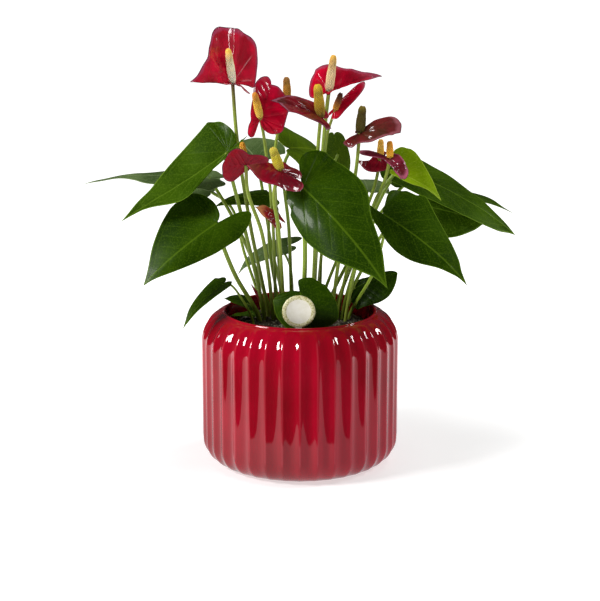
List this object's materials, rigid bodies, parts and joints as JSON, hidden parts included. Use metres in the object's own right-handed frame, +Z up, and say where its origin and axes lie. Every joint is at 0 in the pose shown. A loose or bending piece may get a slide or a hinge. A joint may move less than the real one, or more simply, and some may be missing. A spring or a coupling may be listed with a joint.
{
  "type": "potted anthurium",
  "caption": "Flowering houseplant with heart-shaped glossy leaves and waxy red spathes around upright spadices, growing in a round fluted red glazed pot with a blank round plant tag.",
  "frame": {"origin": "centre of the pot's underside, on the surface that the pot stands on", "axes": "+Z up along the pot's axis; -Y towards the front of the plant, where the tag stands; +X to the viewer's right from the front"},
  "size_m": [0.3514, 0.1961, 0.3535],
  "materials": {
    "glaze": "glossy crimson glaze, thinner and paler on the ridges",
    "soil": "dark, loose, crumbly and matte",
    "leaf": "dark green, waxy, with pale fine veins",
    "young_leaf": "yellow-green, waxy",
    "stalk": "light yellow-green, smooth",
    "spathe": "glossy crimson, puckered along its veins",
    "spadix": "yellow to cream, finely knobbly",
    "tag": "cream with a mottled olive-gold border ring",
    "shoot": "dull red, smooth"
  },
  "bodies": {
    "root": {"pot": "glaze", "leaf_upper_left": "leaf", "leaf_far_left": "leaf", "leaf_left": "leaf", "leaf_front": "leaf", "leaf_right": "leaf", "leaf_bright": "young_leaf", "leaf_far_right": "leaf", "leaf_right_behind": "leaf", "leaf_under_right": "leaf", "leaf_back_right": "leaf", "leaf_back_centre": "young_leaf", "leaf_back_left": "leaf", "leaf_back_upright": "leaf", "leaf_left_inner": "leaf", "leaf_low_left": "leaf", "leaf_over_rim_left": "leaf", "leaf_rim_left": "leaf", "leaf_on_soil": "leaf", "leaf_behind_tag": "leaf", "leaf_over_rim_right": "leaf", "leaf_behind_stems": "leaf", "flower_tall_left_stalk": "stalk", "flower_tall_left_spathe": "spathe", "flower_tall_left_spadix": "spadix", "flower_left_of_centre_stalk": "stalk", "flower_left_of_centre_spathe": "spathe", "flower_left_of_centre_spadix": "spadix", "flower_hidden_left_stalk": "stalk", "flower_hidden_left_spathe": "spathe", "flower_hidden_left_spadix": "spadix", "flower_low_left_stalk": "stalk", "flower_low_left_spathe": "spathe", "flower_low_left_spadix": "spadix", "flower_centre_low_stalk": "stalk", "flower_centre_low_spathe": "spathe", "flower_centre_low_spadix": "spadix", "flower_centre_twisted_stalk": "stalk", "flower_centre_twisted_spathe": "spathe", "flower_centre_twisted_spadix": "spadix", "flower_tall_right_stalk": "stalk", "flower_tall_right_spathe": "spathe", "flower_tall_right_spadix": "spadix", "flower_narrow_stalk": "stalk", "flower_narrow_spathe": "spathe", "flower_narrow_spadix": "spadix", "flower_right_dark_stalk": "stalk", "flower_right_dark_spathe": "spathe", "flower_right_dark_spadix": "spadix", "flower_right_cup_stalk": "stalk", "flower_right_cup_spathe": "spathe", "flower_right_cup_spadix": "spadix", "flower_right_pink_stalk": "stalk", "flower_right_pink_spathe": "spathe", "flower_right_pink_spadix": "spadix", "flower_withering_stalk": "stalk", "flower_withering_spathe": "spathe", "plant_tag": "tag", "red_shoot": "shoot", "soil": "soil"}
  },
  "joints": []
}
